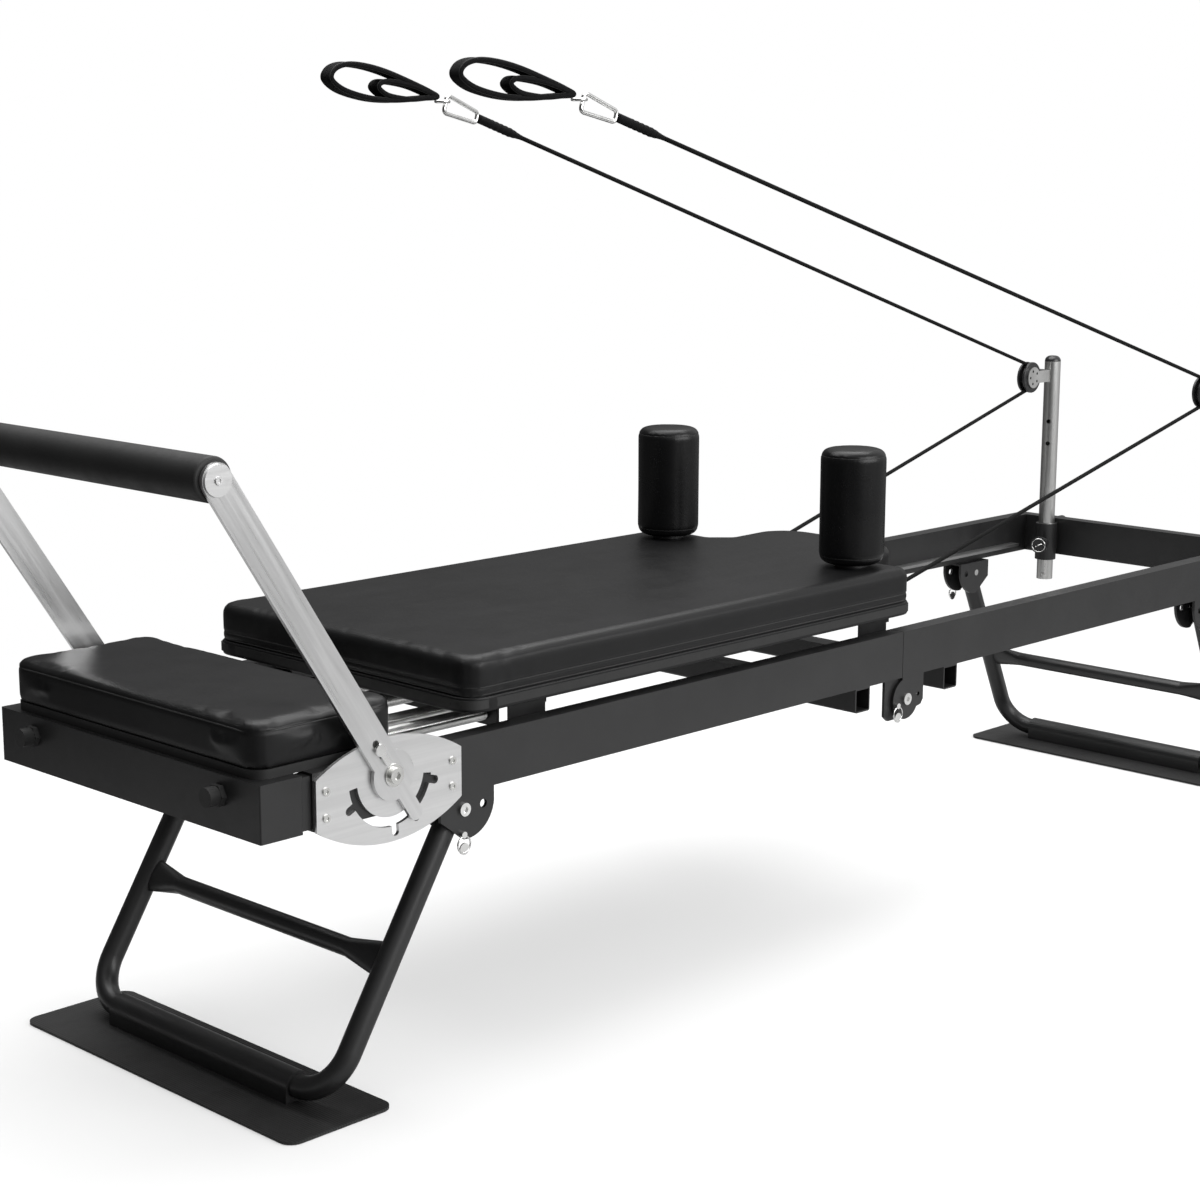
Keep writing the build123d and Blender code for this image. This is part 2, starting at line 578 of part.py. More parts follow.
def carriage_frame():
    """Under-frame: cross beams, stringers, spring plate, wheel cheeks and stub axles."""
    with BuildPart() as frame:
        for x in CROSS_X:
            add_box(x, (-CROSS_HALF, CROSS_HALF), (CROSS_Z, BOARD_Z))
        for side in SIDES:
            add_box((CROSS_X[0][0], CROSS_X[1][1]),
                    band(side, STRINGER_Y - STRINGER_W / 2, STRINGER_Y + STRINGER_W / 2),
                    (CROSS_Z, BOARD_Z))
            for x in WHEEL_X:
                add_box((x - CHEEK_HALF, x + CHEEK_HALF), band(side, CHEEK_Y, CHEEK_Y + CHEEK_T),
                        (WHEEL_Z - 13, BOARD_Z))
                add_rod(x, WHEEL_Z, band(side, CHEEK_Y, WHEEL_Y + WHEEL_W / 2), AXLE_R)
        add_box((SPRING_X1, SPRING_X1 + DROP_T), (-DROP_HALF, DROP_HALF), (DROP_Z, CROSS_Z))
        add_box((CROSS_X[1][0], CROSS_X[1][1]), (-CROSS_HALF, CROSS_HALF), (CROSS_Z, CROSS_Z + 2))
    return frame


def wheel_pair(x):
    """Two track wheels on one axis."""
    with BuildPart() as wheels:
        for side in SIDES:
            span = band(side, WHEEL_Y - WHEEL_W / 2, WHEEL_Y + WHEEL_W / 2)
            add_rod(x, WHEEL_Z, span, WHEEL_R)
            add_rod(x, WHEEL_Z, span, AXLE_R + AXLE_FIT, Mode.SUBTRACT)
    return wheels


def shoulder_rests():
    with BuildPart() as rests:
        with BuildSketch(Plane.XY.offset(REST_Z0)):
            with Locations((REST_X, REST_Y), (REST_X, -REST_Y)):
                Circle(REST_R)
        extrude(amount=REST_Z1 - REST_Z0)
        fillet(rests.edges(), REST_EDGE)
    return rests


def carriage_fittings():
    """Shoulder rest collars and the rope anchor eyes."""
    with BuildPart() as fittings:
        with BuildSketch(Plane.XY.offset(PAD_TOP)):
            with Locations((REST_X, REST_Y), (REST_X, -REST_Y)):
                Circle(REST_COLLAR_R)
        extrude(amount=REST_Z0 - PAD_TOP)
        for side in SIDES:
            x, y, z = rope_point(side, ANCHOR_S, ANCHOR_Z)
            add_box((CROSS_X[1][1], x), (y - 7, y + 7), (z - 7, z + 7))
    return fittings


def post(side):
    """Round tube with a domed cap and a row of height holes."""
    with BuildPart() as tube:
        with BuildSketch(Plane.XY.offset(POST_Z0)):
            with Locations((POST_X, side * POST_Y)):
                Circle(POST_R)
        extrude(amount=POST_Z1 - POST_Z0)
        fillet(tube.faces().sort_by(Axis.Z)[-1].edges(), POST_CAP)
        with BuildSketch(Plane.XY.offset(POST_Z0)):
            with Locations((POST_X, side * POST_Y)):
                Circle(POST_R - POST_WALL)
        extrude(amount=POST_Z1 - POST_Z0 - POST_CAP, mode=Mode.SUBTRACT)
        for z in POST_HOLES:
            with BuildSketch(knob_plane(side, z)):
                Circle(POST_HOLE_R)
            extrude(amount=POST_R, mode=Mode.SUBTRACT)
    return tube


def knob_plane(side, z):
    """Plane on the post axis that faces the inner corner, where the pull knob sits."""
    return Plane((POST_X, side * POST_Y, z), x_dir=(0, 0, 1), z_dir=(-1, -side * KNOB_AIM, 0))


def post_sleeves():
    """Sleeves welded to the end crossbar, each with a boss for the pull knob."""
    z0, z1 = POST_SLEEVE_Z
    bore = POST_R + SLEEVE_FIT
    with BuildPart() as sleeves:
        for side in SIDES:
            with BuildSketch(Plane.XY.offset(z0)):
                with Locations((POST_X, side * POST_Y)):
                    Circle(POST_SLEEVE_R)
            extrude(amount=z1 - z0)
            add_box((POST_X + bore, END_X0), band(side, POST_Y - 12, POST_Y + 12), (z0 + 18, z1))
            with BuildSketch(knob_plane(side, KNOB_Z).offset(bore)):
                Circle(KNOB_BOSS_R)
            extrude(amount=BOSS_TO - bore)
            with BuildSketch(Plane.XY.offset(z0)):
                with Locations((POST_X, side * POST_Y)):
                    Circle(bore)
            extrude(amount=z1 - z0, mode=Mode.SUBTRACT)
            with BuildSketch(knob_plane(side, KNOB_Z)):
                Circle(KNOB_SHAFT_R + STUD_FIT)
            extrude(amount=BOSS_TO, mode=Mode.SUBTRACT)
    return sleeves


def height_knob(side):
    """Spring pull knob: shaft in the boss, grip, and a raised rim."""
    with BuildPart() as knob:
        for start, end, radius in ((POST_R + 1, KNOB_FROM, KNOB_SHAFT_R), (KNOB_FROM, KNOB_TO, KNOB_R),
                                   (KNOB_TO - 6, KNOB_TO - 2, KNOB_RIM_R)):
            with BuildSketch(knob_plane(side, KNOB_Z).offset(start)):
                Circle(radius)
            extrude(amount=end - start)
    return knob


def rope_plane(side):
    """Vertical plane of one rope: x towards the foot end, y up, origin at the pulley centre."""
    turn = radians(ROPE_TURN)
    return Plane((PULLEY_X, side * PULLEY_Y, PULLEY_Z), x_dir=(-cos(turn), -side * sin(turn), 0),
                 z_dir=(-side * sin(turn), cos(turn), 0))


def rope_point(side, s, z):
    """Row-frame point at distance s from the pulley and height z."""
    turn = radians(ROPE_TURN)
    return (PULLEY_X - s * cos(turn), side * (PULLEY_Y - s * sin(turn)), z)


def tangent_angle(s, z, below):
    """Angle of the pulley point where a straight run to (s, z) leaves the rope circle."""
    distance = hypot(s, z - PULLEY_Z)
    swing = degrees(atan2(z - PULLEY_Z, s))
    offset = 90 - degrees(asin(ROPE_LINE_R / distance))
    return swing - offset if below else swing + offset


def rope_circle(angle):
    """Pulley contact point in rope_plane coordinates."""
    return (ROPE_LINE_R * cos(radians(angle)), ROPE_LINE_R * sin(radians(angle)))


def rope_lower(side):
    """Taut run from the carriage anchor to the underside of the pulley."""
    leave = rope_circle(tangent_angle(ANCHOR_S, ANCHOR_Z, True))
    with BuildPart() as rope:
        with BuildLine(rope_plane(side)) as path:
            Line((ANCHOR_S - ANCHOR_GAP, ANCHOR_Z - PULLEY_Z), leave)
        with BuildSketch(Plane(path.wire() @ 0, z_dir=path.wire() % 0)):
            Circle(ROPE_R)
        sweep()
    return rope


def rope_upper(side):
    """Wrap round the pulley and the taut run up to the strap."""
    below = tangent_angle(ANCHOR_S, ANCHOR_Z, True)
    above = tangent_angle(STRAP_S, STRAP_Z, False)
    with BuildPart() as rope:
        with BuildLine(rope_plane(side)) as path:
            CenterArc((0, 0), ROPE_LINE_R, above, 360 + below - above)
            Line(rope_circle(above), (STRAP_S, STRAP_Z - PULLEY_Z))
        with BuildSketch(Plane(path.wire() @ 0, z_dir=path.wire() % 0)):
            Circle(ROPE_R)
        sweep()
    return rope


def pulley_wheel(side):
    """Grooved wheel."""
    half = PULLEY_T / 2
    with BuildPart() as wheel:
        with BuildSketch(rope_plane(side).offset(-half)):
            Circle(PULLEY_R)
        extrude(amount=PULLEY_T)
        fillet(wheel.edges(), 1.5)
        with Locations(rope_plane(side)):
            Torus(GROOVE_R + ROPE_R + 1.5, ROPE_R + 1.5, mode=Mode.SUBTRACT)
        with BuildSketch(rope_plane(side).offset(-ROPE_R - 1)):
            Circle(PULLEY_R + 1)
            Circle(GROOVE_R + ROPE_R, mode=Mode.SUBTRACT)
        extrude(amount=2 * ROPE_R + 2, mode=Mode.SUBTRACT)
        with BuildSketch(rope_plane(side).offset(-half)):
            Circle(PULLEY_AXLE_R + PULLEY_FIT)
        extrude(amount=PULLEY_T, mode=Mode.SUBTRACT)
    return wheel


def pulley_yoke(side):
    """Two drilled cheek discs, axle and arm from the post."""
    inner = PULLEY_T / 2 + CHEEK_GAP
    plane = rope_plane(side)
    reach = PULLEY_X - POST_X + POST_R
    with BuildPart() as yoke:
        for start in (inner, -inner - YOKE_T):
            with BuildSketch(plane.offset(start)):
                Circle(YOKE_R)
                with Locations((reach / 2, 0)):
                    Rectangle(-reach, YOKE_H)
                with PolarLocations(13, 5):
                    Circle(2.6, mode=Mode.SUBTRACT)
            extrude(amount=YOKE_T)
        with BuildSketch(plane.offset(-inner)):
            Circle(PULLEY_AXLE_R)
        extrude(amount=2 * inner)
        with BuildSketch(plane.offset(-inner - YOKE_T)):
            with Locations(((reach - PULLEY_R - 2) / 2, 0)):
                Rectangle(-reach - PULLEY_R - 2, YOKE_H)
        extrude(amount=2 * (inner + YOKE_T))
        with BuildSketch(Plane.XY.offset(PULLEY_Z - YOKE_H)):
            with Locations((POST_X, side * POST_Y)):
                Circle(POST_R)
        extrude(amount=2 * YOKE_H, mode=Mode.SUBTRACT)
    return yoke


def strap_plane(side):
    """Vertical plane through the strap, origin at the rope end, x along the strap away from the rope."""
    turn, lift = radians(ROPE_TURN), strap_lift()
    return Plane(rope_point(side, STRAP_S, STRAP_Z),
                 x_dir=(-cos(turn) * cos(lift), -side * sin(turn) * cos(lift), sin(lift)),
                 z_dir=(-side * sin(turn), cos(turn), 0))


def strap_lift():
    """Slope of the upper rope run, in radians."""
    x, z = rope_circle(tangent_angle(STRAP_S, STRAP_Z, False))
    return atan2(STRAP_Z - PULLEY_Z - z, STRAP_S - x)


def strap_loop_plane(side):
    """Vertical plane of the webbing loops, hanging flatter than the rope."""
    turn, tilt = radians(ROPE_TURN), radians(LOOP_TILT)
    x, y, z = strap_plane(side).from_local_coords((TAIL_L + CLIP_L + 2 * RING_R - 5, 0, 0))
    return Plane((x, y, z), x_dir=(-cos(turn) * cos(tilt), -side * sin(turn) * cos(tilt), sin(tilt)),
                 z_dir=(-side * sin(turn), cos(turn), 0))


def add_loop(points, mode):
    """Smooth closed outline through the points, in the open sketch."""
    with BuildLine() as outline:
        Spline(*points, periodic=True)
    make_face(outline.edges(), mode=mode)


def strap_webbing(side):
    """Webbing tail on the rope end, and the double hand and foot loop."""
    with BuildPart() as webbing:
        with BuildSketch(strap_plane(side)):
            with BuildLine():
                Polyline((0, 0), (0, ROPE_R + 1), (24, TAIL_R), (TAIL_L, TAIL_R), (TAIL_L, 0), close=True)
            make_face()
        revolve(axis=Axis(strap_plane(side).origin, strap_plane(side).x_dir))
        with BuildSketch(strap_loop_plane(side).offset(-LOOP_W / 2)):
            add_loop(FOOT_LOOP, Mode.ADD)
            add_loop(FOOT_HOLE, Mode.SUBTRACT)
            add_loop(HAND_LOOP, Mode.ADD)
            add_loop(HAND_HOLE, Mode.SUBTRACT)
            with Locations((TIP_R + 5, 4)):
                Circle(TIP_R)
        extrude(amount=LOOP_W)
    return webbing


def strap_clip(side):
    """Carabiner and ring between the webbing tail and the loops."""
    plane = strap_plane(side)
    s0, s1, half = TAIL_L + CLIP_WIRE, TAIL_L + CLIP_L, CLIP_W / 2
    with BuildPart() as clip:
        with BuildLine(plane) as path:
            FilletPolyline((s0, -half * 0.6), (s1, -half), (s1, half), (s0, half * 0.6), radius=6, close=True)
        with BuildSketch(Plane(path.wire() @ 0, z_dir=path.wire() % 0)):
            Circle(CLIP_WIRE)
        sweep()
        loops = strap_loop_plane(side)
        with Locations(Plane(loops.from_local_coords((-RING_R + 2, 0, 0)), z_dir=(0, 0, 1))):
            Torus(RING_R, RING_WIRE)
    return clip


def all_parts():
    """Every node name with the builder that holds its solids."""
    parts = {
        "foot_box": foot_box(),
        "front_bumpers": bumper_pair(BOX_X0, FRONT_BUMPER_Z, -FRONT_BUMPER_L),
        "stand_board": stand_board(),
        "stand_pad": stand_pad(),
        "front_rails": rail_pair(COLLAR_X1, SEAM_X - SEAM_GAP),
        "front_tracks": track_pair(TRACK_X0, SEAM_X - SEAM_GAP),
        "front_beam": cross_beam(FRONT_BEAM_X),
        "selector_plates": selector_plates(),
        "selector_hardware": selector_hardware(),
        "spring_bar": spring_bar(),
        "springs": springs(),
        "front_leg_ears": leg_ears(FRONT_LEG, -1),
        "front_leg_hardware": leg_hardware(FRONT_LEG, FRONT_PIN_DX),
        "front_hinge_plates": front_hinge_plates(),
        "hinge_bolts": hinge_bolts(),
        "footbar_frame": footbar_frame(),
        "footbar_grip": footbar_grip(),
        "footbar_caps": footbar_caps(),
        "footbar_latches": footbar_latches(),
        "front_leg_tube": leg_frame(FRONT_LEG),
        "front_leg_brace": leg_brace(FRONT_LEG),
        "front_foot_plate": foot_plate(FRONT_FOOT),
        "front_foot_sleeve": foot_sleeve(FRONT_LEG),
        "carriage_pad": carriage_pad(),
        "carriage_board": carriage_board(),
        "carriage_frame": carriage_frame(),
        "carriage_fittings": carriage_fittings(),
        "shoulder_rests": shoulder_rests(),
        "front_wheels": wheel_pair(WHEEL_X[0]),
        "rear_wheels": wheel_pair(WHEEL_X[1]),
        "rear_rails": rail_pair(SEAM_X + SEAM_GAP, END_X0),
        "rear_tracks": track_pair(SEAM_X + SEAM_GAP, TRACK_X1),
        "rear_beam": cross_beam(REAR_BEAM_X),
        "end_crossbar": end_crossbar(),
        "rear_bumpers": bumper_pair(END_X1, REAR_BUMPER_Z, REAR_BUMPER_L),
        "rear_hinge_plates": rear_hinge_plates(),
        "hinge_pins": hinge_pins(),
        "rear_leg_ears": leg_ears(REAR_LEG, 1),
        "rear_leg_hardware": leg_hardware(REAR_LEG, REAR_PIN_DX),
        "rear_leg_tube": leg_frame(REAR_LEG),
        "rear_leg_brace": leg_brace(REAR_LEG),
        "rear_foot_plate": foot_plate(REAR_FOOT),
        "rear_foot_sleeve": foot_sleeve(REAR_LEG),
        "post_sleeves": post_sleeves(),
    }
    for side, word in ((1, "left"), (-1, "right")):
        parts[f"post_{word}"] = post(side)
        parts[f"height_knob_{word}"] = height_knob(side)
        parts[f"pulley_yoke_{word}"] = pulley_yoke(side)
        parts[f"pulley_wheel_{word}"] = pulley_wheel(side)
        parts[f"rope_lower_{word}"] = rope_lower(side)
        parts[f"rope_upper_{word}"] = rope_upper(side)
        parts[f"strap_webbing_{word}"] = strap_webbing(side)
        parts[f"strap_clip_{word}"] = strap_clip(side)
    return parts


def main():
    os.makedirs("parts", exist_ok=True)
    for name, sub in all_parts().items():
        sub.part.label = name
        export_step(sub.part, f"parts/{name}.step")


main()
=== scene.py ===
import json
import math

import bmesh
import bpy
from mathutils import Matrix, Vector, noise


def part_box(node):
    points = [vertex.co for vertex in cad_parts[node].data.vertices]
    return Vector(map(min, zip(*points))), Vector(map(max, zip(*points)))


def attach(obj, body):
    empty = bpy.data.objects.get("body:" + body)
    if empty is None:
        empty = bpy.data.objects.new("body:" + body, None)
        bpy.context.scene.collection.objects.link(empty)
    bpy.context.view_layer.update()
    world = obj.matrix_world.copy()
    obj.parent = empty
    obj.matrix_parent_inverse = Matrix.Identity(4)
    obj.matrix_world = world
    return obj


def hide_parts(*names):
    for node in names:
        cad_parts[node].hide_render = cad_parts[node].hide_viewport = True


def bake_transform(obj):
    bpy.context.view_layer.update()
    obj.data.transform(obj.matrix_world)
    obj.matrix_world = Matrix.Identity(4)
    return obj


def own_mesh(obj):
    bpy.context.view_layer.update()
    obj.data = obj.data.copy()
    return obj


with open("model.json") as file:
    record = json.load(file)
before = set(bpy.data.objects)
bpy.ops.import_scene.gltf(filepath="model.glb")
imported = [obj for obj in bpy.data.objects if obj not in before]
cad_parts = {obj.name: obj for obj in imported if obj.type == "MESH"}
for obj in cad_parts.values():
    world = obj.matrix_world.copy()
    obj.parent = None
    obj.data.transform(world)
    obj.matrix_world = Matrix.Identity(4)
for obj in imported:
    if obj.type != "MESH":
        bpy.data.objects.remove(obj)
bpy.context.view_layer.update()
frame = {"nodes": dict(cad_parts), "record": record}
nodes = frame["nodes"]
scene = bpy.context.scene

# ---------------------------------------------------------------- camera, floor and light

CAMERA_AT = Vector((-2.836, -2.454, 1.218))
YAW, PITCH, ROLL = math.radians(44.255), math.radians(11.085), math.radians(0.139)
LENS = 70.11
SKY_POWER = 0.95
BRIGHT_SIDE = (0.35, -0.45, 0.8)
SKY_DARK, SKY_LIGHT = 0.09, 1.0
FLOOR_HALF, FLOOR_DROP = 30, -0.001
FLOOR_SOLID, FLOOR_GONE, FLOOR_FAINT = 1.5, 3.2, 0.5


def add_camera():
    look = Vector((math.cos(YAW) * math.cos(PITCH), math.sin(YAW) * math.cos(PITCH), -math.sin(PITCH)))
    right = look.cross(Vector((0, 0, 1))).normalized()
    up = right.cross(look)
    tilted = right * math.cos(ROLL) + up * math.sin(ROLL)
    above = up * math.cos(ROLL) - right * math.sin(ROLL)
    data = bpy.data.cameras.new("Camera")
    data.lens, data.sensor_width = LENS, 36
    data.clip_start, data.clip_end = 0.05, 60
    camera = bpy.data.objects.new("Camera", data)
    scene.collection.objects.link(camera)
    camera.matrix_world = Matrix((
        (tilted.x, above.x, -look.x, CAMERA_AT.x),
        (tilted.y, above.y, -look.y, CAMERA_AT.y),
        (tilted.z, above.z, -look.z, CAMERA_AT.z),
        (0, 0, 0, 1)))
    scene.camera = camera


def add_area(name, at, target, size, power):
    data = bpy.data.lights.new(name, "AREA")
    data.shape, data.size, data.size_y, data.energy = "RECTANGLE", size[0], size[1], power
    lamp = bpy.data.objects.new(name, data)
    scene.collection.objects.link(lamp)
    lamp.location = at
    lamp.rotation_euler = (Vector(target) - Vector(at)).to_track_quat("-Z", "Y").to_euler()


def floor_material():
    """Pale, half clear floor that fades out round the object, so that no horizon shows."""
    material = new_material("pale_floor", (0.9, 0.9, 0.9), 0.95, spec=0.1)
    n = Nodes(material)
    away = n.add("ShaderNodeVectorMath", [("Vector", n.scaled((1, 1.35, 0)))], operation="LENGTH")
    fade = n.add("ShaderNodeMapRange", [("Value", away.outputs["Value"])], interpolation_type="SMOOTHSTEP")
    fade.inputs["From Min"].default_value = FLOOR_SOLID
    fade.inputs["From Max"].default_value = FLOOR_GONE
    fade.inputs["To Min"].default_value = FLOOR_FAINT
    clear = n.add("ShaderNodeBsdfTransparent")
    mix = n.add("ShaderNodeMixShader", [("Fac", fade.outputs["Result"])])
    n.tree.links.new(n.shader.outputs["BSDF"], mix.inputs[1])
    n.tree.links.new(clear.outputs["BSDF"], mix.inputs[2])
    n.tree.links.new(mix.outputs["Shader"], n.tree.nodes["Material Output"].inputs["Surface"])
    return material


def add_studio():
    """White cove: the camera sees plain white, and the object sees a sky that is brightest on one side."""
    world = bpy.data.worlds.new("Studio")
    scene.world = world
    world.use_nodes = True
    tree = world.node_tree
    sky = tree.nodes["Background"]
    sky.inputs["Strength"].default_value = SKY_POWER
    where = tree.nodes.new("ShaderNodeTexCoord")
    lean = tree.nodes.new("ShaderNodeVectorMath")
    lean.operation = "DOT_PRODUCT"
    lean.inputs[1].default_value = BRIGHT_SIDE
    fade = tree.nodes.new("ShaderNodeValToRGB")
    fade.color_ramp.elements[0].color = (SKY_DARK, SKY_DARK, SKY_DARK, 1)
    fade.color_ramp.elements[1].color = (SKY_LIGHT, SKY_LIGHT, SKY_LIGHT, 1)
    fade.color_ramp.elements[0].position = 0.05
    fade.color_ramp.elements[1].position = 0.9
    tree.links.new(where.outputs["Generated"], lean.inputs[0])
    tree.links.new(lean.outputs["Value"], fade.inputs["Fac"])
    tree.links.new(fade.outputs["Color"], sky.inputs["Color"])
    plain = tree.nodes.new("ShaderNodeBackground")
    plain.inputs["Color"].default_value = (1, 1, 1, 1)
    plain.inputs["Strength"].default_value = 1.0
    path = tree.nodes.new("ShaderNodeLightPath")
    mix = tree.nodes.new("ShaderNodeMixShader")
    tree.links.new(path.outputs["Is Camera Ray"], mix.inputs["Fac"])
    tree.links.new(sky.outputs["Background"], mix.inputs[1])
    tree.links.new(plain.outputs["Background"], mix.inputs[2])
    tree.links.new(mix.outputs["Shader"], tree.nodes["World Output"].inputs["Surface"])
    scene.view_settings.view_transform = "Standard"
    mesh = bpy.data.meshes.new("Floor")
    corners = [(x * FLOOR_HALF, y * FLOOR_HALF, FLOOR_DROP) for x, y in ((-1, -1), (1, -1), (1, 1), (-1, 1))]
    mesh.from_pydata(corners, [], [(0, 1, 2, 3)])
    floor = bpy.data.objects.new("Floor", mesh)
    scene.collection.objects.link(floor)
    mesh.materials.append(floor_material())
    add_area("Key", (0.6, -4.2, 2.2), (0, 0, 0.4), (4.5, 2.2), 160)
    add_area("Top", (0.2, 0.6, 3.6), (0, 0, 0.4), (4.0, 3.0), 150)


# ---------------------------------------------------------------- materials

def new_material(name, color, rough, metal=0.0, spec=0.5):
    material = bpy.data.materials.new(name)
    material.use_nodes = True
    shader = material.node_tree.nodes["Principled BSDF"]
    shader.inputs["Base Color"].default_value = (*color, 1)
    shader.inputs["Roughness"].default_value = rough
    shader.inputs["Metallic"].default_value = metal
    shader.inputs["Specular IOR Level"].default_value = spec
    return material


class Nodes:
    """Small helper that adds and links nodes in one material."""

    def __init__(self, material):
        self.tree = material.node_tree
        self.shader = self.tree.nodes["Principled BSDF"]
        self.coordinates = self.tree.nodes.new("ShaderNodeTexCoord")
        self.turn = 0.0

    def add(self, kind, links=(), **values):
        node = self.tree.nodes.new(kind)
        for key, value in values.items():
            if key in node.inputs:
                node.inputs[key].default_value = value
            else:
                setattr(node, key, value)
        for socket, source in links:
            self.tree.links.new(source, node.inputs[socket])
        return node

    def scaled(self, scale, space="Object"):
        turned = self.add("ShaderNodeMapping", [("Vector", self.coordinates.outputs[space])])
        turned.inputs["Rotation"].default_value = (0, self.turn, 0)
        mapping = self.add("ShaderNodeMapping", [("Vector", turned.outputs["Vector"])])
        mapping.inputs["Scale"].default_value = scale
        return mapping.outputs["Vector"]

    def noise(self, scale, detail=4.0, stretch=(1, 1, 1), roughness=0.55, space="Object"):
        node = self.add("ShaderNodeTexNoise", [("Vector", self.scaled(stretch, space))])
        node.inputs["Scale"].default_value = scale
        node.inputs["Detail"].default_value = detail
        node.inputs["Roughness"].default_value = roughness
        return node.outputs["Fac"]

    def remap(self, source, low, high, from_low=0.3, from_high=0.7):
        node = self.add("ShaderNodeMapRange", [("Value", source)])
        node.inputs["From Min"].default_value = from_low
        node.inputs["From Max"].default_value = from_high
        node.inputs["To Min"].default_value = low
        node.inputs["To Max"].default_value = high
        return node.outputs["Result"]

    def tint(self, source, dark, light):
        node = self.add("ShaderNodeMix", [("Factor", source)], data_type="RGBA")
        node.inputs[6].default_value = (*dark, 1)
        node.inputs[7].default_value = (*light, 1)
        return node.outputs[2]

    def bump(self, height, strength, distance, under=None):
        links = [("Height", height)] + ([("Normal", under)] if under else [])
        node = self.add("ShaderNodeBump", links)
        node.inputs["Strength"].default_value = strength
        node.inputs["Distance"].default_value = distance
        return node.outputs["Normal"]

    def math(self, operation, a, b=0.0):
        node = self.add("ShaderNodeMath", operation=operation)
        for index, value in enumerate((a, b)):
            if isinstance(value, float):
                node.inputs[index].default_value = value
            else:
                self.tree.links.new(value, node.inputs[index])
        return node.outputs["Value"]

    def axis(self, letter, space="Object"):
        node = self.add("ShaderNodeSeparateXYZ", [("Vector", self.coordinates.outputs[space])])
        return node.outputs[letter]

    def link(self, socket, source):
        self.tree.links.new(source, self.shader.inputs[socket])


def powder_coat(name, dark, light, rough=0.42):
    material = new_material(name, light, rough)
    n = Nodes(material)
    n.link("Base Color", n.tint(n.remap(n.noise(9, 3), 0, 1), dark, light))
    n.link("Roughness", n.remap(n.noise(26, 5), rough - 0.05, rough + 0.07))
    fine = n.bump(n.noise(1500, 2), 0.22, 0.0003)
    n.link("Normal", n.bump(n.noise(160, 2), 0.05, 0.0006, fine))
    return material


def brushed(name, color, grain, rough=0.3, metal=1.0, lean=0.0):
    """Fine lines along the axis whose grain is small, after turning the object space by lean about Y."""
    material = new_material(name, color, rough, metal)
    n = Nodes(material)
    n.turn = lean
    low = tuple(c * 0.9 for c in color)
    streak = n.noise(160, 5, grain, 0.6)
    n.link("Base Color", n.tint(n.remap(streak, 0, 1), low, color))
    n.link("Roughness", n.remap(streak, rough - 0.04, rough + 0.05))
    n.link("Normal", n.bump(n.noise(420, 3, grain, 0.6), 0.07, 0.0002))
    return material


def bright(name, color, rough=0.14):
    material = new_material(name, color, rough, 1.0)
    n = Nodes(material)
    n.link("Roughness", n.remap(n.noise(90, 4), rough - 0.04, rough + 0.09))
    n.link("Base Color", n.tint(n.remap(n.noise(30, 3), 0, 1), tuple(c * 0.8 for c in color), color))
    n.link("Normal", n.bump(n.noise(700, 2), 0.04, 0.0002))
    return material


def vinyl(name, dark, light, rough=0.44, stripe=0.0):
    material = new_material(name, light, rough, spec=0.25)
    n = Nodes(material)
    n.link("Base Color", n.tint(n.remap(n.noise(7, 4), 0, 1), dark, light))
    n.link("Roughness", n.remap(n.noise(18, 5), rough - 0.02, rough + 0.04))
    grain = n.add("ShaderNodeTexVoronoi", [("Vector", n.scaled((1, 1, 1)))], feature="DISTANCE_TO_EDGE")
    grain.inputs["Scale"].default_value = 620
    pores = n.remap(grain.outputs["Distance"], 0, 1, 0.0, 0.25)
    normal = n.bump(pores, 0.14, 0.0003)
    normal = n.bump(n.noise(34, 3), 0.06, 0.0012, normal)
    if stripe:
        wave = n.noise(21, 1.5, (0.05, 1, 0.3), 0.4)
        normal = n.bump(wave, stripe, 0.0035, normal)
    n.link("Normal", normal)
    return material


def grainy(name, dark, light, rough, scale, strength, depth, metal=0.0):
    material = new_material(name, light, rough, metal)
    n = Nodes(material)
    n.link("Base Color", n.tint(n.remap(n.noise(14, 4), 0, 1), dark, light))
    n.link("Roughness", n.remap(n.noise(40, 4), rough - 0.05, rough + 0.06))
    n.link("Normal", n.bump(n.noise(scale, 3), strength, depth))
    return material


def ribbed(name, dark, light, rough, period):
    material = new_material(name, light, rough)
    n = Nodes(material)
    n.link("Base Color", n.tint(n.remap(n.noise(12, 4), 0, 1), dark, light))
    n.link("Roughness", n.remap(n.noise(30, 4), rough - 0.05, rough + 0.08))
    turns = n.math("MULTIPLY", n.axis("X"), 2 * math.pi / period)
    ridge = n.math("SINE", turns)
    normal = n.bump(n.noise(900, 2), 0.15, 0.0003)
    n.link("Normal", n.bump(ridge, 0.3, 0.0005, normal))
    return material


def woven(name, dark, light, rough, per_metre, space="UV"):
    """Diagonal weave on the UVs that the tube and band builders write in metres."""
    material = new_material(name, light, rough, spec=0.12)
    n = Nodes(material)
    u, v = n.axis("X", space), n.axis("Y", space)
    a = n.math("SINE", n.math("MULTIPLY", n.math("ADD", u, v), per_metre * 2 * math.pi))
    b = n.math("SINE", n.math("MULTIPLY", n.math("SUBTRACT", u, v), per_metre * 2 * math.pi))
    weave = n.math("MAXIMUM", a, b)
    n.link("Base Color", n.tint(n.remap(weave, 0, 1, -0.5, 1), dark, light))
    normal = n.bump(n.noise(1600, 2), 0.3, 0.0003)
    n.link("Normal", n.bump(weave, 0.5, 0.0005, normal))
    return material


BLACK = ((0.009, 0.009, 0.0093), (0.014, 0.014, 0.0143))
CAP_COLOR = (0.015, 0.015, 0.016, 1)
CAP_FROM = 0.786
ARM_LEAN = 0.575


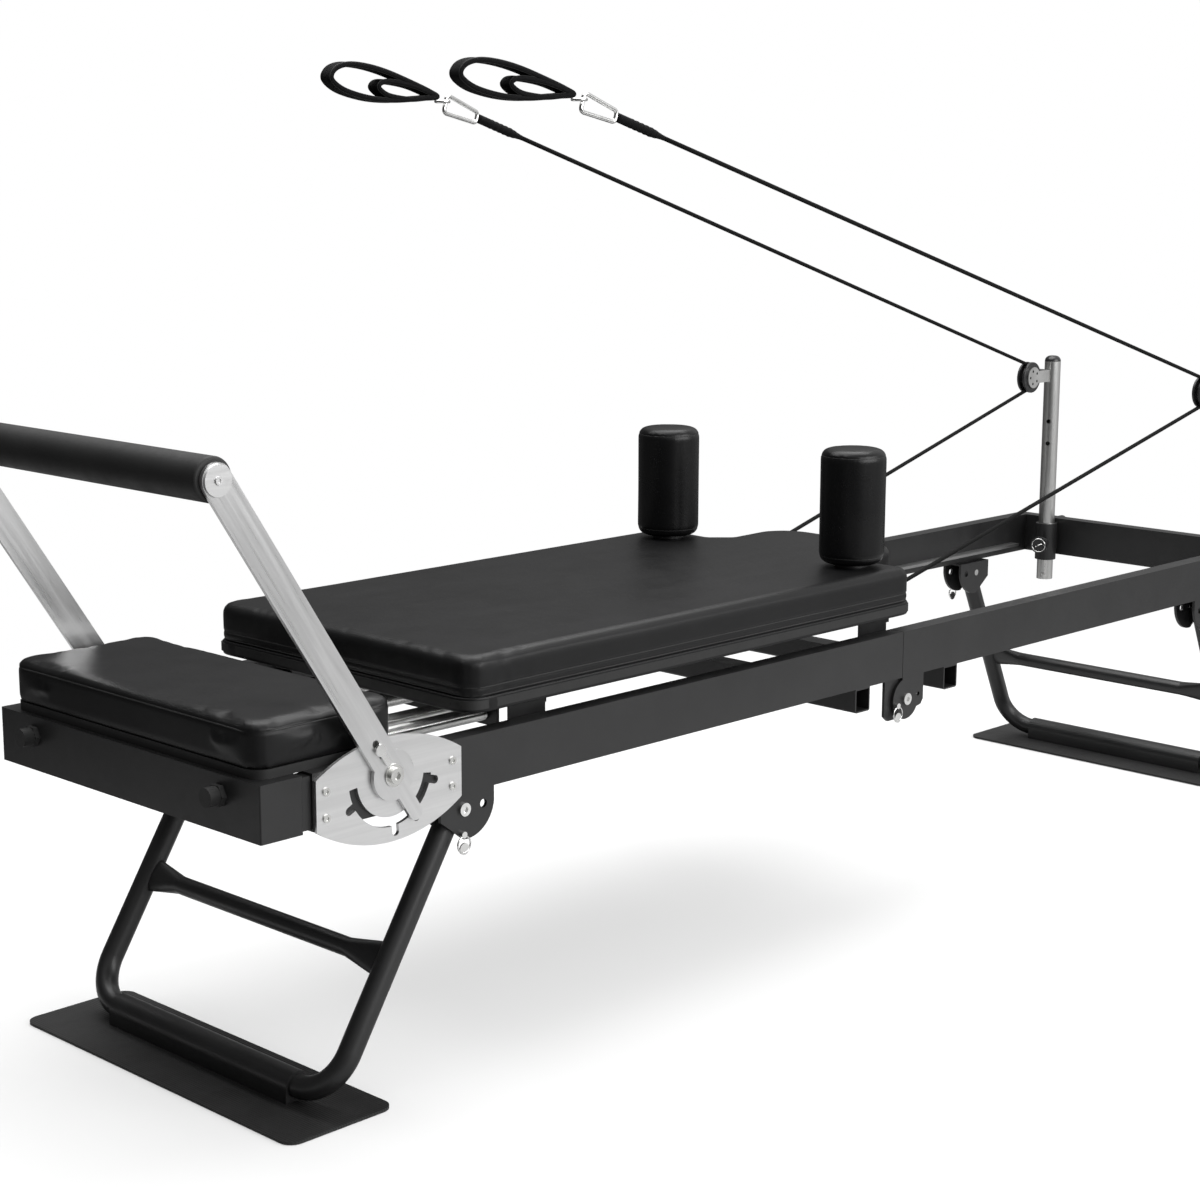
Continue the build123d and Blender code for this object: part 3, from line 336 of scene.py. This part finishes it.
def silver_with_cap(name, color, cap_from):
    """Satin tube whose top is a black plastic cap."""
    material = brushed(name, color, (1, 1, 0.04), 0.3)
    n = Nodes(material)
    above = n.math("GREATER_THAN", n.axis("Z"), cap_from)
    n.link("Metallic", n.math("SUBTRACT", 1.0, above))
    mix = n.add("ShaderNodeMix", [("Factor", above)], data_type="RGBA")
    mix.inputs[6].default_value = (*color, 1)
    mix.inputs[7].default_value = CAP_COLOR
    n.link("Base Color", mix.outputs[2])
    return material


def build_materials():
    return {
        "black_coat": powder_coat("black_coat_m", *BLACK, 0.36),
        "foot_rubber": ribbed("foot_rubber_m", (0.009, 0.009, 0.009), (0.015, 0.015, 0.015), 0.5, 0.0042),
        "steel_plate": brushed("steel_plate_m", (0.73, 0.73, 0.73), (0.03, 1, 1), 0.34),
        "steel_arm": brushed("steel_arm_m", (0.7, 0.7, 0.7), (1, 1, 0.03), 0.3, lean=ARM_LEAN),
        "zinc_steel": bright("zinc_steel_m", (0.75, 0.75, 0.73), 0.2),
        "bright_metal": bright("bright_metal_m", (0.83, 0.83, 0.82), 0.12),
        "vinyl": vinyl("vinyl_m", (0.004, 0.004, 0.0042), (0.007, 0.007, 0.0073), 0.37),
        "vinyl_rest": vinyl("vinyl_rest_m", (0.003, 0.003, 0.0032), (0.006, 0.006, 0.0063), 0.27),
        "vinyl_mat": vinyl("vinyl_mat_m", (0.004, 0.004, 0.0042), (0.007, 0.007, 0.0073), 0.38, 0.3),
        "thread": grainy("thread_m", (0.01, 0.01, 0.01), (0.018, 0.018, 0.018), 0.7, 2500, 0.4, 0.0003),
        "board": grainy("board_m", (0.006, 0.006, 0.006), (0.011, 0.011, 0.011), 0.6, 500, 0.2, 0.0004),
        "rubber": grainy("rubber_m", (0.012, 0.012, 0.012), (0.02, 0.02, 0.02), 0.62, 500, 0.25, 0.0005),
        "foam": grainy("foam_m", (0.008, 0.008, 0.008), (0.014, 0.014, 0.014), 0.6, 1100, 0.35, 0.0005),
        "hard_plastic": grainy("hard_plastic_m", (0.012, 0.012, 0.013), (0.02, 0.02, 0.021), 0.4, 800, 0.15,
                               0.0003),
        "wheel_plastic": grainy("wheel_plastic_m", (0.015, 0.015, 0.016), (0.03, 0.03, 0.031), 0.35, 500, 0.1,
                                0.0003),
        "track": brushed("track_m", (0.4, 0.4, 0.4), (0.03, 1, 1), 0.36),
        "silver_post": silver_with_cap("silver_post_m", (0.66, 0.66, 0.65), CAP_FROM),
        "rope": woven("rope_m", (0.002, 0.002, 0.002), (0.008, 0.008, 0.008), 0.75, 260),
        "webbing": woven("webbing_m", (0.002, 0.002, 0.0022), (0.008, 0.008, 0.0085), 0.78, 420),
    }


# ---------------------------------------------------------------- mesh helpers

def add_object(name, vertices, faces, material=None, smooth=True):
    mesh = bpy.data.meshes.new(name)
    mesh.from_pydata([tuple(v) for v in vertices], [], faces)
    mesh.update()
    item = bpy.data.objects.new(name, mesh)
    scene.collection.objects.link(item)
    if material:
        mesh.materials.append(material)
    if smooth:
        mesh.polygons.foreach_set("use_smooth", [True] * len(mesh.polygons))
    return item


def tube(name, centres, radius, sides, material, up=Vector((0, 1, 0)), shape=None, closed=False):
    """Tube along centres with UVs in metres. radius is a number or a function of 0..1 along it."""
    points = [Vector(p) for p in centres]
    count = len(points)
    lengths = [0.0]
    for a, b in zip(points, points[1:]):
        lengths.append(lengths[-1] + (b - a).length)
    vertices, faces, uvs = [], [], []
    side_dir = None
    for i, point in enumerate(points):
        before = points[i - 1] if (i or closed) else points[i]
        after = points[(i + 1) % count] if (i < count - 1 or closed) else points[i]
        along = (after - before).normalized()
        first = up.cross(along)
        if first.length < 1e-4:
            first = side_dir or Vector((1, 0, 0)).cross(along)
        first.normalize()
        side_dir = first
        second = along.cross(first)
        r = radius(lengths[i] / lengths[-1]) if callable(radius) else radius
        for k in range(sides):
            turn = 2 * math.pi * k / sides
            x, y = math.cos(turn), math.sin(turn)
            if shape:
                x, y = shape(x, y)
            vertices.append(point + first * (r * x) + second * (r * y))
    rings = count if closed else count - 1
    for i in range(rings):
        j = (i + 1) % count
        for k in range(sides):
            m = (k + 1) % sides
            faces.append((i * sides + k, i * sides + m, j * sides + m, j * sides + k))
            v0, v1 = lengths[i], lengths[i] + (points[j] - points[i]).length
            r = radius(0.5) if callable(radius) else radius
            u0, u1 = 2 * math.pi * r * k / sides, 2 * math.pi * r * (k + 1) / sides
            uvs.append(((u0, v0), (u1, v0), (u1, v1), (u0, v1)))
    if not closed:
        faces.append(tuple(range(sides - 1, -1, -1)))
        faces.append(tuple((count - 1) * sides + k for k in range(sides)))
    item = add_object(name, vertices, faces, material)
    layer = item.data.uv_layers.new(name="UVMap")
    for polygon, corners in zip(item.data.polygons, uvs):
        for loop, uv in zip(polygon.loop_indices, corners):
            layer.data[loop].uv = uv
    return item


def nurbs_points(name, points, resolution=12):
    """Points read from a smooth NURBS spline through the route's control points."""
    curve = bpy.data.curves.new(name, "CURVE")
    curve.dimensions = "3D"
    spline = curve.splines.new("NURBS")
    spline.points.add(len(points) - 1)
    for target, point in zip(spline.points, points):
        target.co = (*point, 1)
    spline.order_u = 3
    spline.use_endpoint_u = True
    spline.resolution_u = resolution
    holder = bpy.data.objects.new(name, curve)
    line = bpy.data.meshes.new_from_object(holder)
    read = [v.co.copy() for v in line.vertices]
    bpy.data.objects.remove(holder)
    bpy.data.curves.remove(curve)
    bpy.data.meshes.remove(line)
    return read


def smooth_loop(points, steps):
    """Closed smooth line through the points."""
    count, line = len(points), []
    for i in range(count):
        p0, p1, p2, p3 = (Vector(points[(i + k) % count]) for k in (-1, 0, 1, 2))
        for j in range(steps):
            t = j / steps
            line.append(0.5 * (2 * p1 + (p2 - p0) * t + (2 * p0 - 5 * p1 + 4 * p2 - p3) * t * t
                               + (3 * p1 - p0 - 3 * p2 + p3) * t ** 3))
    return line


def section_loops(item, z):
    """Closed lines where a level plane cuts the piece."""
    mesh = bmesh.new()
    mesh.from_mesh(item.data)
    cut = bmesh.ops.bisect_plane(mesh, geom=mesh.verts[:] + mesh.edges[:] + mesh.faces[:],
                                 plane_co=(0, 0, z), plane_no=(0, 0, 1))["geom_cut"]
    edges = {e for e in cut if isinstance(e, bmesh.types.BMEdge)}
    loops = []
    while edges:
        edge = edges.pop()
        first, at = edge.verts
        line = [first.co.copy(), at.co.copy()]
        while at is not first:
            edge = next((e for e in at.link_edges if e in edges), None)
            if edge is None:
                break
            edges.remove(edge)
            at = edge.other_vert(at)
            line.append(at.co.copy())
        loops.append(line[:-1])
    mesh.free()
    return [line for line in loops if len(line) > 40]


def even_loop(line, gap, rounds):
    """The closed line resampled at an even gap and smoothed."""
    total = sum((b - a).length for a, b in zip(line, line[1:] + line[:1]))
    count = max(24, int(total / gap))
    points, done, want = [], 0.0, 0.0
    for a, b in zip(line, line[1:] + line[:1]):
        length = (b - a).length
        while want <= done + length and len(points) < count:
            points.append(a.lerp(b, (want - done) / max(length, 1e-9)))
            want += total / count
        done += length
    for _ in range(rounds):
        points = [(points[i - 1] + points[i] * 2 + points[(i + 1) % len(points)]) / 4
                  for i in range(len(points))]
    return points


# ---------------------------------------------------------------- cushions

SKIRT_CUT, SKIRT_Z, SKIRT_H, SKIRT_T = 0.512, 0.4965, 0.02, 0.0064
MAT_WELTS, STAND_WELT, REST_WELTS = (0.5192, 0.5092), 0.5215, (0.7365, 0.5785)
CROWN = 0.002
CLOTH_FRAMES, CLOTH_PRESSURE = 20, 4

def swell(node, name, voxel, inset, cap, material):
    """A cushion grown by cloth pressure from a slightly smaller copy of its CAD solid, flat underneath."""
    item = bpy.data.objects.new(name, nodes[node].data.copy())
    scene.collection.objects.link(item)
    item.data.materials.clear()
    item.data.materials.append(material)
    remesh = item.modifiers.new("Remesh", "REMESH")
    remesh.mode, remesh.voxel_size = "VOXEL", voxel
    apply_all(item)
    low = min(v.co.z for v in item.data.vertices)
    item.data.update()
    normals = [v.normal.copy() for v in item.data.vertices]
    for vertex, normal in zip(item.data.vertices, normals):
        move = normal * inset
        vertex.co.x -= move.x
        vertex.co.y -= move.y
        if vertex.co.z > low + 0.002:
            vertex.co.z -= max(0.0, move.z)
    before = [v.co.copy() for v in item.data.vertices]
    cloth = item.modifiers.new("Cloth", "CLOTH")
    cloth.settings.use_pressure = True
    cloth.settings.uniform_pressure_force = CLOTH_PRESSURE
    cloth.settings.effector_weights.gravity = 0
    cloth.settings.quality = 3
    for number in range(1, CLOTH_FRAMES + 1):
        scene.frame_set(number)
    apply_all(item)
    scene.frame_set(1)
    for vertex, start in zip(item.data.vertices, before):
        move = vertex.co - start
        if move.length > cap:
            move *= cap / move.length
        vertex.co = start + move
        vertex.co.z = max(vertex.co.z, low)
    return item


def apply_all(item):
    """Bakes the modifiers into the mesh."""
    ready = bpy.data.meshes.new_from_object(item.evaluated_get(bpy.context.evaluated_depsgraph_get()))
    old = item.data
    item.modifiers.clear()
    item.data = ready
    bpy.data.meshes.remove(old)
    item.data.polygons.foreach_set("use_smooth", [True] * len(item.data.polygons))


def refine(item):
    """One subdivision, after the shape is settled."""
    item.modifiers.new("Fine", "SUBSURF").levels = 1
    apply_all(item)


def press(item, change):
    """Moves each vertex along its normal by change(position, normal) metres."""
    item.data.update()
    moves = [v.normal * change(v.co, v.normal) for v in item.data.vertices]
    for vertex, move in zip(item.data.vertices, moves):
        vertex.co += move


def crease(value, at, width):
    """A soft 0..1 dip centred on at."""
    return math.exp(-((value - at) / width) ** 2)


def add_welt(item, z, radius, material, body, name):
    """Piping round the cushion at one height."""
    for index, line in enumerate(section_loops(item, z)):
        welt = tube(f"{name}_{index}", even_loop(line, 0.006, 3), radius, 8, material, Vector((0, 0, 1)),
                    closed=True)
        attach(welt, body)


def add_skirt(item, materials):
    """The pad's vinyl, wrapped over the edge of the board under it."""
    for index, line in enumerate(section_loops(item, SKIRT_CUT)):
        path = [Vector((p.x, p.y, SKIRT_Z)) for p in even_loop(line, 0.006, 3)]
        skirt = tube(f"mat_skirt_{index}", path, 1.0, 20, materials["vinyl_mat"], Vector((0, 0, 1)),
                     strip_shape(SKIRT_H, SKIRT_T), closed=True)
        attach(skirt, "carriage")


def add_mat(materials):
    """Carriage pad: crowned top, puckered corners, two welts round the side."""
    pad = swell("carriage_pad", "mat_cushion", 0.006, 0.0008, 0.005, materials["vinyl_mat"])
    low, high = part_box("carriage_pad")
    corner = Vector((low.x, low.y))

    def shape(at, normal):
        side = 1 - abs(normal.z)
        wave = 0.0005 * noise.noise(Vector((at.x * 1.2, at.y * 26, 2.0))) if normal.z > 0.5 else 0.0
        near = max(0.0, 1 - (Vector((at.x, abs(at.y) * -1)) - corner).length / 0.17)
        pleat = 0.0012 * near * side * noise.noise(Vector((at.x * 60, at.y * 60, at.z * 14)))
        swag = 0.0006 * side * noise.noise(Vector((at.x * 7, at.y * 7, at.z * 20)))
        groove = -0.0011 * side * sum(crease(at.z, welt, 0.0016) for welt in MAT_WELTS)
        return wave + pleat + swag + groove

    refine(pad)
    press(pad, shape)
    for vertex in pad.data.vertices:
        vertex.co.z = min(max(vertex.co.z, low.z), high.z + CROWN)
    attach(pad, "carriage")
    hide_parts("carriage_pad")
    for level, z in zip(("high", "low"), MAT_WELTS):
        add_welt(pad, z, 0.0011, materials["thread"], "carriage", f"mat_welt_{level}")
    add_skirt(pad, materials)


def add_stand_pad(materials):
    """Foot-end pad with a welt below its top edge."""
    pad = swell("stand_pad", "stand_cushion", 0.005, 0.0006, 0.004, materials["vinyl"])
    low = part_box("stand_pad")[0].z

    def shape(at, normal):
        side = 1 - abs(normal.z)
        lump = 0.0004 * side * noise.noise(Vector((at.x * 9, at.y * 9, at.z * 22)))
        fold = 0.0002 * noise.noise(Vector((at.x * 30, at.y * 6, 1.0))) * max(0.0, normal.z)
        return lump + fold - 0.001 * side * crease(at.z, STAND_WELT, 0.0016)

    refine(pad)
    press(pad, shape)
    for vertex in pad.data.vertices:
        vertex.co.z = max(vertex.co.z, low)
    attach(pad, "front_frame")
    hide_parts("stand_pad")
    add_welt(pad, STAND_WELT, 0.001, materials["thread"], "front_frame", "stand_welt")


def add_rests(materials):
    """Shoulder rests: slightly barrelled, with a seam ring near the top and one near the bottom."""
    pad = swell("shoulder_rests", "rest_cushions", 0.005, 0.0005, 0.003, materials["vinyl_rest"])
    refine(pad)

    def shape(at, normal):
        side = 1 - abs(normal.z)
        ripple = 0.0006 * side * noise.noise(Vector((at.x * 30, at.y * 30, at.z * 6)))
        return ripple - 0.001 * side * sum(crease(at.z, welt, 0.0015) for welt in REST_WELTS)

    press(pad, shape)
    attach(pad, "carriage")
    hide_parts("shoulder_rests")
    for level, z in zip(("high", "low"), REST_WELTS):
        add_welt(pad, z, 0.0009, materials["thread"], "carriage", f"rest_welt_{level}")


# ---------------------------------------------------------------- springs

SPRING_ROWS = (-0.150, -0.098, 0.0, 0.098, 0.150)
SPRING_FROM, SPRING_TO, SPRING_Z = -1.009, -0.702, 0.445
COIL_R, COIL_WIRE, COIL_PITCH = 0.0095, 0.0013, 0.00295
COIL_STEPS, WIRE_SIDES = 14, 6


def add_springs(materials):
    """Close-wound extension springs."""
    vertices, faces = [], []
    turns = (SPRING_TO - SPRING_FROM) / COIL_PITCH
    steps, sides = int(turns * COIL_STEPS), WIRE_SIDES
    for y in SPRING_ROWS:
        base = len(vertices)
        for i in range(steps + 1):
            angle, x = 2 * math.pi * i / COIL_STEPS, SPRING_FROM + COIL_PITCH * i / COIL_STEPS
            out = Vector((0, math.cos(angle), math.sin(angle)))
            for k in range(sides):
                turn = 2 * math.pi * k / sides
                reach = COIL_R + COIL_WIRE * math.cos(turn)
                vertices.append(Vector((x + COIL_WIRE * math.sin(turn), y, SPRING_Z)) + out * reach)
        for i in range(steps):
            for k in range(sides):
                m, a, b = (k + 1) % sides, base + i * sides, base + (i + 1) * sides
                faces.append((a + k, a + m, b + m, b + k))
    coils = add_object("spring_coils", vertices, faces, materials["bright_metal"])
    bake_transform(coils)
    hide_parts("springs")


# ---------------------------------------------------------------- ropes and straps

SIDES = (("left", 1), ("right", -1))
TURN = math.radians(2.0)
PULLEY = (1.114, 0.197, 0.758)
ROPE_R = 0.0035
ANCHOR, STRAP = (0.9905, -0.278), (1.455, 0.466)
WRAP_R, WRAP_CORNER_R = 0.0228, 0.02405
WRAP_TOP, WRAP_LOW = 106.90, 255.61
TAIL_L, CLIP_L, RING_BACK = 0.096, 0.070, 0.014
LOOP_TILT = math.radians(6.0)
BAND_W, BAND_T = 0.0238, 0.0068
FOOT_BAND = ((12, 4), (42, -1.5), (95, -10.5), (140, -13), (184, -9), (208.5, -0.5), (215.3, 9), (206, 21),
             (184, 28.5), (150, 30), (111, 26.5), (62, 17.5), (26, 9.5))
HAND_BAND = ((16, 5), (43, -2), (70, -6), (104.5, -5.5), (121.5, 0), (126.2, 6), (117.5, 12.5), (95, 15),
             (61, 14), (31, 9))
KNOB_AT, KNOB_FACE, KNOB_AIM = (1.190, 0.192, 0.417), 0.0583, 0.35
RING_R, RING_WIRE, BAR_REACH, BAR_WIRE = 0.0132, 0.0011, 0.0075, 0.0013


def rope_point(side, s, h):
    """Row-frame point from the rope plane of one side: s towards the foot end, h up from the pulley."""
    return Vector((PULLEY[0] - s * math.cos(TURN), side * (PULLEY[1] - s * math.sin(TURN)), PULLEY[2] + h))


def wrap_point(side, angle, radius):
    return rope_point(side, radius * math.cos(math.radians(angle)), radius * math.sin(math.radians(angle)))


def add_ropes(materials):
    """Lower run from the carriage to the pulley, then the wrap and the upper run to the strap."""
    for word, side in SIDES:
        low, high = wrap_point(side, WRAP_LOW, WRAP_R), wrap_point(side, WRAP_TOP, WRAP_R)
        anchor, strap = rope_point(side, *ANCHOR), rope_point(side, *STRAP)
        run = nurbs_points("route_low", [anchor, anchor.lerp(low, 0.5), low])
        lower = tube(f"rope_run_lower_{word}", run, ROPE_R, 12, materials["rope"])
        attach(lower, f"post_{word}")
        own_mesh(lower)
        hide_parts(f"rope_lower_{word}")
        along = (strap - high).normalized()
        route = [low, wrap_point(side, 237.02, WRAP_CORNER_R), wrap_point(side, 199.84, WRAP_CORNER_R),
                 wrap_point(side, 162.67, WRAP_CORNER_R), wrap_point(side, 125.49, WRAP_CORNER_R),
                 high + along * 0.0077, high + along * 0.042, high.lerp(strap, 0.5), strap]
        run = nurbs_points("route_high", route)
        upper = tube(f"rope_run_upper_{word}", run, ROPE_R, 12, materials["rope"])
        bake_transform(upper)
        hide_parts(f"rope_upper_{word}")


def strip_shape(width, thick):
    """Rounded flat section for a band, as a map of the unit circle."""
    def shape(x, y):
        power = 0.35
        return (math.copysign(abs(x) ** power, x) * thick / 2, math.copysign(abs(y) ** power, y) * width / 2)
    return shape


def tail_radius(t):
    """Radius of the wrapped rope end, growing from the rope at t = 0 to the lashed part."""
    grow = min(1.0, t / 0.3)
    ridge = 0.00035 * math.sin(t * 60) if t < 0.72 else 0.0
    return 0.0037 + 0.003 * grow * grow * (3 - 2 * grow) - ridge * grow


def add_straps(materials):
    """Padded double loop and the wrapped rope end of each strap."""
    for word, side in SIDES:
        high, strap = wrap_point(side, WRAP_TOP, WRAP_R), rope_point(side, *STRAP)
        along = (strap - high).normalized()
        normal = Vector((-side * math.sin(TURN), math.cos(TURN), 0))
        level = Vector((-math.cos(TURN), -side * math.sin(TURN), 0))
        ahead = level * math.cos(LOOP_TILT) + Vector((0, 0, math.sin(LOOP_TILT)))
        upward = Vector((0, 0, math.cos(LOOP_TILT))) - level * math.sin(LOOP_TILT)
        origin = strap + along * (TAIL_L + CLIP_L + RING_BACK)
        pieces = []
        for name, band in (("foot_band", FOOT_BAND), ("hand_band", HAND_BAND)):
            line = smooth_loop([origin + ahead * (s / 1000) + upward * (h / 1000) for s, h in band], 10)
            loop = tube(f"{name}_{word}", line, 1.0, 20, materials["webbing"], normal,
                        strip_shape(BAND_W, BAND_T), closed=True)
            pieces.append(loop)
            for index, offset in enumerate((-0.4, 0.4)):
                shifted = [p + normal * (BAND_W * offset) for p in line]
                seam = tube(f"{name}_seam_{index}_{word}", shifted, 1.0, 8, materials["thread"], normal,
                            strip_shape(0.0012, BAND_T + 0.0008), closed=True)
                pieces.append(seam)
        tail_line = [strap + along * (TAIL_L * i / 60) for i in range(61)]
        pieces.append(tube(f"strap_tail_{word}", tail_line, tail_radius, 16, materials["webbing"], normal))
        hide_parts(f"strap_webbing_{word}")
        for piece in pieces:
            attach(piece, f"strap_{word}")


def add_knob_trim(materials):
    """Bright ring and slot bar on the face of each height knob."""
    for word, side in SIDES:
        face = Vector((-1, -side * KNOB_AIM, 0)).normalized()
        across = Vector((0, 0, 1)).cross(face)
        centre = Vector((KNOB_AT[0], side * KNOB_AT[1], KNOB_AT[2])) + face * KNOB_FACE
        turns = [2 * math.pi * i / 48 for i in range(48)]
        circle = [centre + across * (RING_R * math.cos(a)) + Vector((0, 0, RING_R * math.sin(a)))
                  for a in turns]
        reach = (across + Vector((0, 0, 0.45))).normalized() * BAR_REACH
        metal = materials["bright_metal"]
        ring = tube(f"knob_ring_{word}", circle, RING_WIRE, 8, metal, face, closed=True)
        bar = tube(f"knob_bar_{word}", [centre - reach, centre + reach], BAR_WIRE, 8, metal, face)
        for trim in (ring, bar):
            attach(trim, f"height_knob_{word}")


def paint_cad(materials):
    """Gives every carried-over CAD node its procedural material."""
    own = {"front_foot_plate": "foot_rubber", "rear_foot_plate": "foot_rubber", "footbar_frame": "steel_arm"}
    for part in frame["record"]["subparts"]:
        node = nodes[part["node"]]
        material = materials[own.get(part["node"], part["material_slot"])]
        node.data.materials.clear()
        node.data.materials.append(material)


# ---------------------------------------------------------------- run

def main():
    add_camera()
    add_studio()
    materials = build_materials()
    paint_cad(materials)
    add_ropes(materials)
    add_straps(materials)
    add_springs(materials)
    add_knob_trim(materials)
    add_mat(materials)
    add_stand_pad(materials)
    add_rests(materials)


main()
